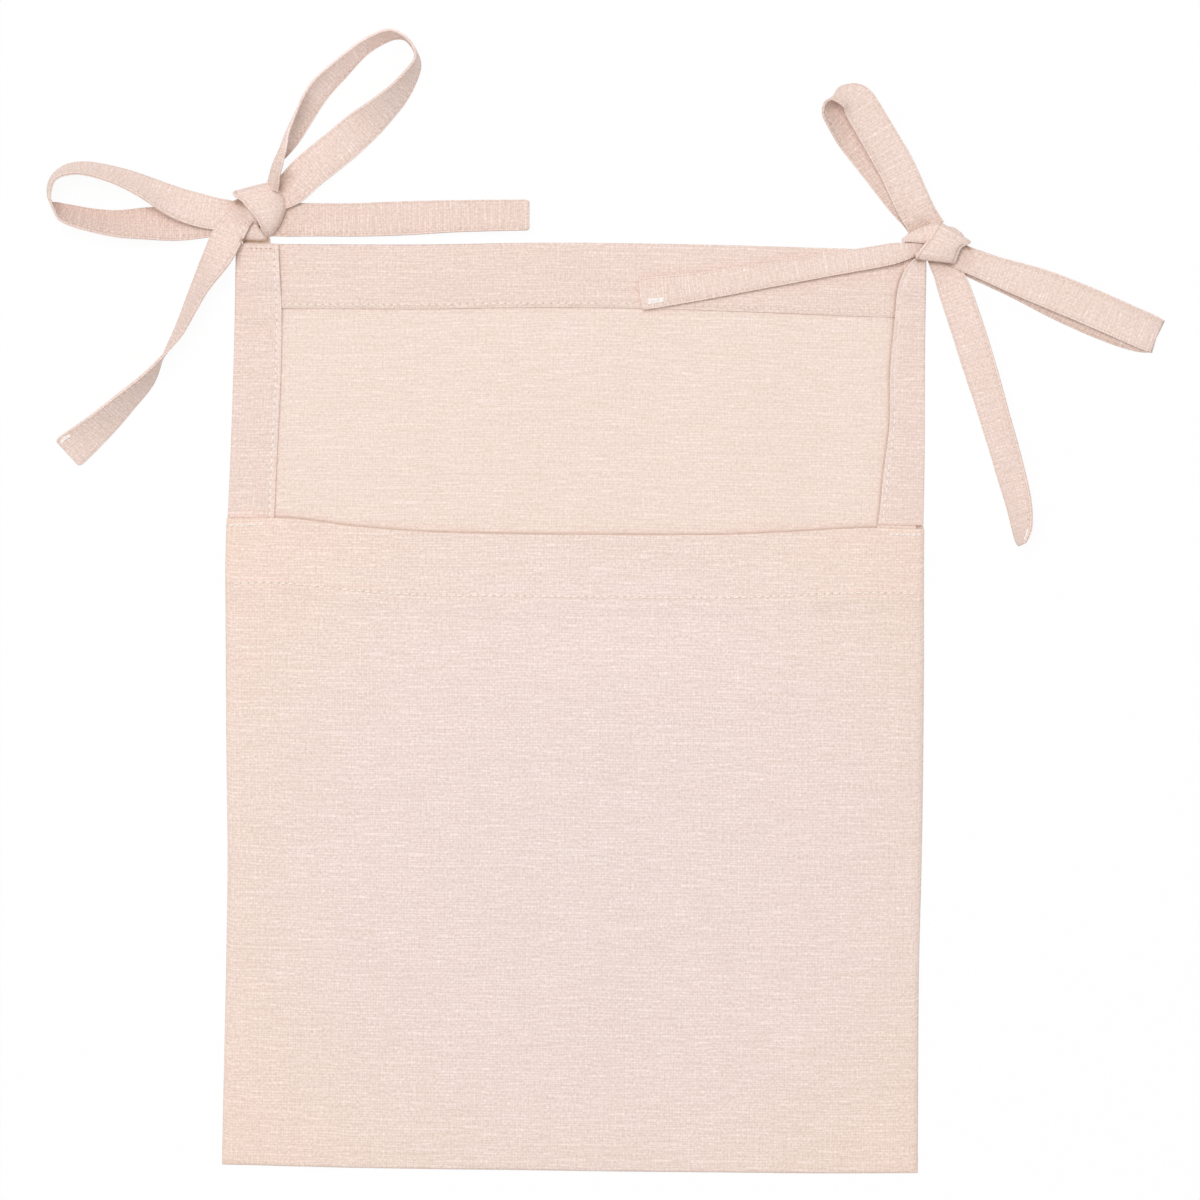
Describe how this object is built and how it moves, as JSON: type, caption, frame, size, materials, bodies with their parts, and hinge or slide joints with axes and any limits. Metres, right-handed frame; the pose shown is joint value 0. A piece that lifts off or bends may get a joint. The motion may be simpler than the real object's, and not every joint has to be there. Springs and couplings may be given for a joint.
{
  "type": "crib organizer",
  "caption": "Flat cloth organizer for a crib rail: a hemmed panel folded up into a full-width front pocket, with a tie tape tied in a bow at each top corner.",
  "frame": {"origin": "middle of the back panel, on its back face", "axes": "+X across the front to the right, +Y up the panel towards the ties, +Z out of the front"},
  "size_m": [0.4816, 0.4957, 0.0166],
  "materials": {
    "panel_cloth": "light blush slubby basket weave",
    "hem_cloth": "the same cloth, doubled",
    "tie_tape": "the same cloth, folded and edge stitched"
  },
  "bodies": {
    "organizer": {"back_panel": "panel_cloth", "pocket_front": "panel_cloth", "top_hem": "hem_cloth", "left_side_hem": "hem_cloth", "right_side_hem": "hem_cloth", "pocket_mouth_hem": "hem_cloth", "left_side_seam": "hem_cloth", "right_side_seam": "hem_cloth", "left_tie_root": "tie_tape", "left_knot": "tie_tape", "left_outer_loop": "tie_tape", "left_upper_loop": "tie_tape", "left_lower_tail_neck": "tie_tape", "left_right_tail_neck": "tie_tape", "right_tie_root": "tie_tape", "right_knot": "tie_tape", "right_upper_loop": "tie_tape", "right_outer_loop": "tie_tape", "right_inner_tail_neck": "tie_tape", "right_lower_tail_neck": "tie_tape"},
    "left_lower_tail_body": {"left_lower_tail": "tie_tape"},
    "left_right_tail_body": {"left_right_tail": "tie_tape"},
    "right_inner_tail_body": {"right_inner_tail": "tie_tape"},
    "right_lower_tail_body": {"right_lower_tail": "tie_tape"}
  },
  "joints": [
    {"name": "left_lower_tail_swing", "type": "hinge", "parent": "organizer", "child": "left_lower_tail_body", "pos_m": [-0.1449, 0.2106, 0.009], "axis": [-0.8825, 0.4208, -0.2103], "range_deg": [0, 60]},
    {"name": "left_right_tail_swing", "type": "hinge", "parent": "organizer", "child": "left_right_tail_body", "pos_m": [-0.1122, 0.2103, 0.0029], "axis": [-0.0031, -0.9828, 0.1848], "range_deg": [0, 60]},
    {"name": "right_inner_tail_swing", "type": "hinge", "parent": "organizer", "child": "right_inner_tail_body", "pos_m": [0.1481, 0.1967, 0.0069], "axis": [-0.1326, 0.9893, 0.0607], "range_deg": [0, 60]},
    {"name": "right_lower_tail_swing", "type": "hinge", "parent": "organizer", "child": "right_lower_tail_body", "pos_m": [0.1635, 0.1821, 0.0029], "axis": [-0.9383, -0.3428, -0.0461], "range_deg": [0, 60]}
  ]
}
